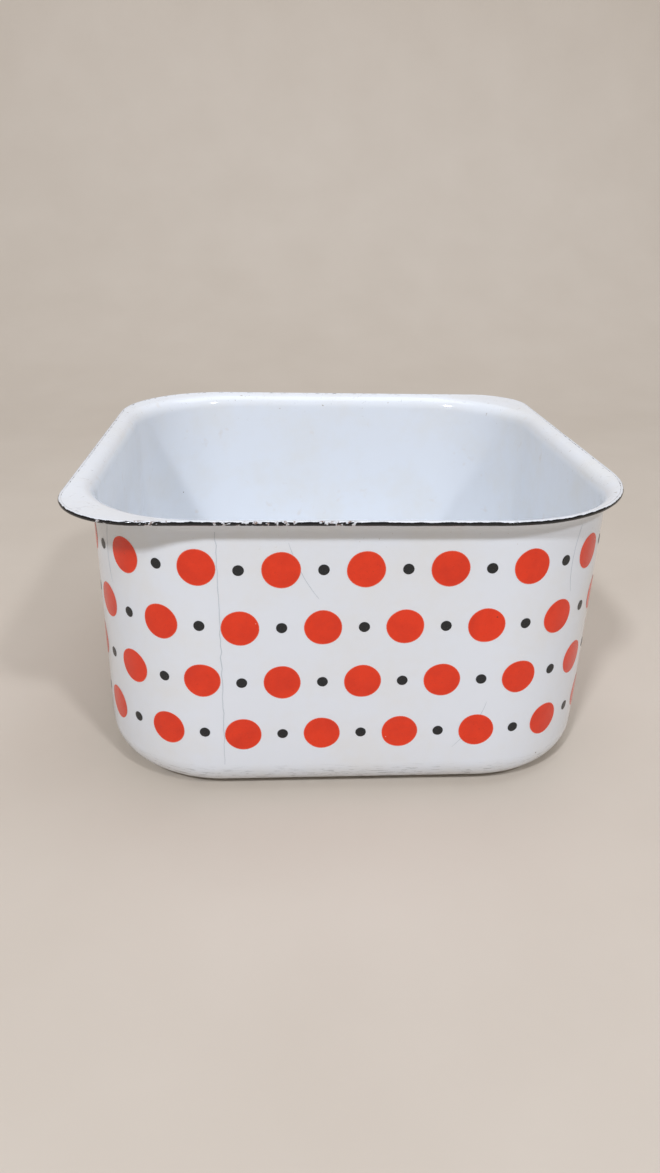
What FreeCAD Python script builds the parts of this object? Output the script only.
"""A deep square kitchen tub of pressed steel, enamelled white, with a black enamelled rim edge.

One sheet of steel is drawn into a square pan with rounded corners and a narrow flared rim.
Four fired coats of glass lie on it, two inside and two outside, and a black bead of enamel
closes the cut edge. Every coat is its own solid, so the tub comes apart into its layers.

Frame: millimetres, +Z up. The origin is the middle of the underside, and -Y is the front.
"""
import FreeCAD, Part
import math
import os
import Sketcher
from FreeCAD import Vector

doc = FreeCAD.newDocument("EnamelTub")

# ---------------------------------------------------------------- driving dimensions

SIZES = [
    ("overall_height", 97.0, "floor to the top of the black bead"),
    ("rim_width", 180.0, "across the black bead, the same both ways"),
    ("flange_width", 5.8, "how far the rim reaches out past the wall, along a side"),
    ("flange_rise", 1.1, "how much higher the rim is at its edge than at the wall"),
    ("wall_lean", 0.5, "how much further out each wall stands at the rim than at the base"),
    ("wall_corner_radius", 42.0, "outside radius of the four upright corners"),
    ("base_edge_radius", 11.0, "outside radius between the wall and the base"),
    ("rim_bend_radius", 4.3, "radius of the bend under the rim"),
    ("trim_front_left", 20.6, "how much sharper this rim corner is than a parallel edge"),
    ("trim_front_right", -2.7, "the same; below zero is rounder than a parallel edge"),
    ("trim_back_right", 25.9, "the same"),
    ("trim_back_left", 5.0, "the same"),
    ("steel_thickness", 0.7, "the drawn sheet"),
    ("ground_coat_thickness", 0.1, "dark first coat of enamel, on each face"),
    ("white_coat_thickness", 0.15, "white second coat, on each face"),
    ("bead_width", 0.8, "how far the black bead stands out past the coated sheet"),
    ("bead_lap", 0.2, "how far the bead swells above and below the coated sheet"),
]

sizes = doc.addObject("Spreadsheet::Sheet", "sizes")
for row, (alias, value, note) in enumerate(SIZES, start=1):
    sizes.set("A%d" % row, alias)
    sizes.set("B%d" % row, str(value))
    sizes.set("C%d" % row, note)
    sizes.setAlias("B%d" % row, alias)
doc.recompute()

# ---------------------------------------------------------------- expressions shared by the pieces

GROUND = "sizes.ground_coat_thickness"
WHITE = "sizes.white_coat_thickness"
COATED = "(sizes.steel_thickness + 2 * %s + 2 * %s)" % (GROUND, WHITE)

# Depths of the six surfaces, measured inwards from the outermost white one.
SURFACE_DEPTHS = [
    "0",
    WHITE,
    "(%s + %s)" % (WHITE, GROUND),
    "(%s + %s + sizes.steel_thickness)" % (WHITE, GROUND),
    "(%s + 2 * %s + sizes.steel_thickness)" % (WHITE, GROUND),
    COATED,
]

RIM_HALF = "sizes.rim_width / 2"
SHEET_HALF = "(sizes.rim_width / 2 - sizes.bead_width)"
WALL_HALF = "(sizes.rim_width / 2 - sizes.flange_width)"
SHEET_FLANGE = "(sizes.flange_width - sizes.bead_width)"
SLOPE = "(sizes.flange_rise / %s)" % SHEET_FLANGE
RIM_UNDERSIDE = "(sizes.overall_height - sizes.bead_lap - %s)" % COATED
BEAD_HEIGHT = "(%s + 2 * sizes.bead_lap)" % COATED
CORNERS = ["front_right", "back_right", "back_left", "front_left"]
MOUTH_MARGIN = 3.0      # how far the cutting shapes reach above the rim
BEAD_ROUNDNESS = 0.97   # share of the bead's half height taken by its rounding
HEIGHT_TOLERANCE = 1e-4


def rim_radii(inset):
    """The rim's four corner radii, for an outline lying inset inside the rim's own edge."""
    text = "sizes.wall_corner_radius + sizes.flange_width - sizes.trim_%s - %s"
    return [text % (corner, inset) for corner in CORNERS]


def wall_radii(inset):
    """The wall's four corner radii, all equal, for an outline lying inset inside the wall."""
    return ["sizes.wall_corner_radius - %s" % inset] * len(CORNERS)


# ---------------------------------------------------------------- sketching

def value_of(expression):
    """The number that an expression gives now, used to draw a sketch close to its final size."""
    return float(sizes.evalExpression(expression.replace("sizes.", "")))


def origin_plane(body, role):
    """One of a body's own origin planes."""
    return next(item for item in body.Origin.OriginFeatures if item.Role == role)


def new_sketch(body, name, height):
    """An empty level sketch at a height."""
    sketch = body.newObject("Sketcher::SketchObject", name)
    sketch.AttachmentSupport = (origin_plane(body, "XY_Plane"), "")
    sketch.MapMode = "FlatFace"
    sketch.setExpression("AttachmentOffset.Base.z", height)
    return sketch


def add_rounded_square(sketch, half, radii):
    """A closed square outline about the origin whose four corners each have their own radius.

    The corners run anticlockwise from the front right, and each side is tangent to the two
    arcs that it joins.
    """
    reach = value_of(half)
    turns = [(1, -1), (1, 1), (-1, 1), (-1, -1)]
    centres = []
    for (across, along), radius in zip(turns, radii):
        inner = reach - value_of(radius)
        centres.append(Vector(across * inner, along * inner, 0))

    first = sketch.GeometryCount
    quarter = math.pi / 2
    arcs = []
    sides = []
    for index in range(4):
        start_angle = (index - 1) * quarter
        circle = Part.Circle(centres[index], Vector(0, 0, 1), value_of(radii[index]))
        arcs.append(Part.ArcOfCircle(circle, start_angle, start_angle + quarter))
    for index in range(4):
        sides.append(Part.LineSegment(arcs[index].EndPoint, arcs[(index + 1) % 4].StartPoint))
    sketch.addGeometry(arcs + sides, False)

    start, end = 1, 2
    origin = (-1, 1)
    names = ["%s_%d" % (corner, first) for corner in CORNERS]
    for index in range(4):
        arc = first + index
        side = first + 4 + index
        next_arc = first + (index + 1) % 4
        upright = index % 2 == 0
        sketch.addConstraint(Sketcher.Constraint("Tangent", arc, end, side, start))
        sketch.addConstraint(Sketcher.Constraint("Tangent", side, end, next_arc, start))
        sketch.addConstraint(Sketcher.Constraint("Vertical" if upright else "Horizontal", side))

        size = sketch.addConstraint(Sketcher.Constraint("Radius", arc, value_of(radii[index])))
        sketch.renameConstraint(size, "radius_" + names[index])
        sketch.setExpression("Constraints.radius_" + names[index], radii[index])

        kind = "DistanceX" if upright else "DistanceY"
        ends = (*origin, side, start) if index < 2 else (side, start, *origin)
        place = sketch.addConstraint(Sketcher.Constraint(kind, *ends, reach))
        sketch.renameConstraint(place, "reach_" + names[index])
        sketch.setExpression("Constraints.reach_" + names[index], half)


def level_edges(shape, height):
    """Names of a shape's edges that lie level at a height."""
    names = []
    for number, edge in enumerate(shape.Edges, start=1):
        box = edge.BoundBox
        if abs(box.ZMin - height) < HEIGHT_TOLERANCE and abs(box.ZMax - height) < HEIGHT_TOLERANCE:
            names.append("Edge%d" % number)
    return names


def outer_level_edges(ring):
    """Names of the edges round the outside of a ring's level top and bottom faces."""
    level = [face for face in ring.Faces if face.BoundBox.ZLength < HEIGHT_TOLERANCE]
    outside = [edge for face in level for edge in face.OuterWire.Edges]
    names = []
    for number, edge in enumerate(ring.Edges, start=1):
        if any(edge.isSame(other) for other in outside):
            names.append("Edge%d" % number)
    return names


def round_edges(body, name, base, height, radius):
    """A fillet on every level edge of the base feature at a height."""
    fillet = body.newObject("PartDesign::Fillet", name)
    fillet.Base = (base, level_edges(base.Shape, value_of(height)))
    fillet.setExpression("Radius", radius)
    doc.recompute()
    return fillet


# ---------------------------------------------------------------- the pieces

def filled_tub(name, depth):
    """Everything inside one of the tub's surfaces, from that surface up past the rim.

    The difference between two of these is one layer of the tub.
    """
    body = doc.addObject("PartDesign::Body", name)
    throat = "(%s - sizes.flange_rise + %s * (1 - %s))" % (RIM_UNDERSIDE, depth, SLOPE)
    rim = "(%s + %s)" % (RIM_UNDERSIDE, depth)
    mouth = "(sizes.overall_height + %s)" % MOUTH_MARGIN
    base_inset = "(sizes.wall_lean + %s)" % depth

    base = new_sketch(body, name + "Base", depth)
    add_rounded_square(base, "(%s - %s)" % (WALL_HALF, base_inset), wall_radii(base_inset))
    doc.recompute()
    wall = body.newObject("PartDesign::Pad", name + "Wall")
    wall.Profile = base
    wall.setExpression("Length", "%s - %s" % (throat, depth))
    wall.setExpression("TaperAngle", "atan(sizes.wall_lean / (%s - %s))" % (throat, depth))
    doc.recompute()

    sections = []
    for part, height, half, radii in [
        ("Throat", throat, "(%s - %s)" % (WALL_HALF, depth), wall_radii(depth)),
        ("Rim", rim, SHEET_HALF, rim_radii("sizes.bead_width")),
        ("Mouth", mouth, SHEET_HALF, rim_radii("sizes.bead_width")),
    ]:
        section = new_sketch(body, name + part, height)
        add_rounded_square(section, half, radii)
        sections.append(section)
    doc.recompute()
    flare = body.newObject("PartDesign::AdditiveLoft", name + "Flare")
    flare.Profile = sections[0]
    flare.Sections = sections[1:]
    flare.Ruled = True
    doc.recompute()

    bent = round_edges(body, name + "Bend", flare, throat, "sizes.rim_bend_radius + %s" % depth)
    round_edges(body, name + "BaseEdge", bent, depth, "sizes.base_edge_radius - %s" % depth)
    return body


def layer(label, outer, inner):
    """The layer between two of the tub's surfaces."""
    cut = doc.addObject("Part::Cut", label)
    cut.Base = outer
    cut.Tool = inner
    return cut


def edge_bead(label):
    """The rounded bead of black enamel that closes the cut edge of the coated sheet."""
    body = doc.addObject("PartDesign::Body", label)
    foot = "(sizes.overall_height - %s)" % BEAD_HEIGHT
    ring = new_sketch(body, "BeadRing", foot)
    add_rounded_square(ring, RIM_HALF, rim_radii("0"))
    add_rounded_square(ring, SHEET_HALF, rim_radii("sizes.bead_width"))
    doc.recompute()

    pad = body.newObject("PartDesign::Pad", "BeadPad")
    pad.Profile = ring
    pad.setExpression("Length", BEAD_HEIGHT)
    doc.recompute()

    fillet = body.newObject("PartDesign::Fillet", "BeadRounding")
    fillet.Base = (pad, outer_level_edges(pad.Shape))
    fillet.setExpression("Radius", "min(sizes.bead_width; %s / 2) * %s" % (BEAD_HEIGHT, BEAD_ROUNDNESS))
    doc.recompute()
    return body


# ---------------------------------------------------------------- build

surfaces = [filled_tub("Surface%d" % number, depth) for number, depth in enumerate(SURFACE_DEPTHS)]
LAYERS = [
    "white_enamel_outside",
    "ground_coat_outside",
    "steel_pressing",
    "ground_coat_inside",
    "white_enamel_inside",
]
pieces = []
for label, outer, inner in zip(LAYERS, surfaces, surfaces[1:]):
    pieces.append(layer(label, outer, inner))
pieces.append(edge_bead("black_edge_enamel"))
doc.recompute()


# ---------------------------------------------------------------- check and write

for item in doc.Objects:
    if "Invalid" in item.State or "Error" in item.State:
        raise RuntimeError("%s did not build: %s" % (item.Label, item.State))
for piece in pieces:
    if piece.Shape.isNull() or not piece.Shape.isValid():
        raise RuntimeError("%s has no valid shape" % piece.Label)

os.makedirs("parts", exist_ok=True)
for piece in pieces:
    piece.Shape.exportStep("parts/%s.step" % piece.Label)
    box = piece.Shape.optimalBoundingBox(False)
    print("%-22s %2d solid(s) %10.1f mm3   %6.1f x %6.1f x %5.1f mm" % (
        piece.Label, len(piece.Shape.Solids), piece.Shape.Volume, box.XLength, box.YLength, box.ZLength))
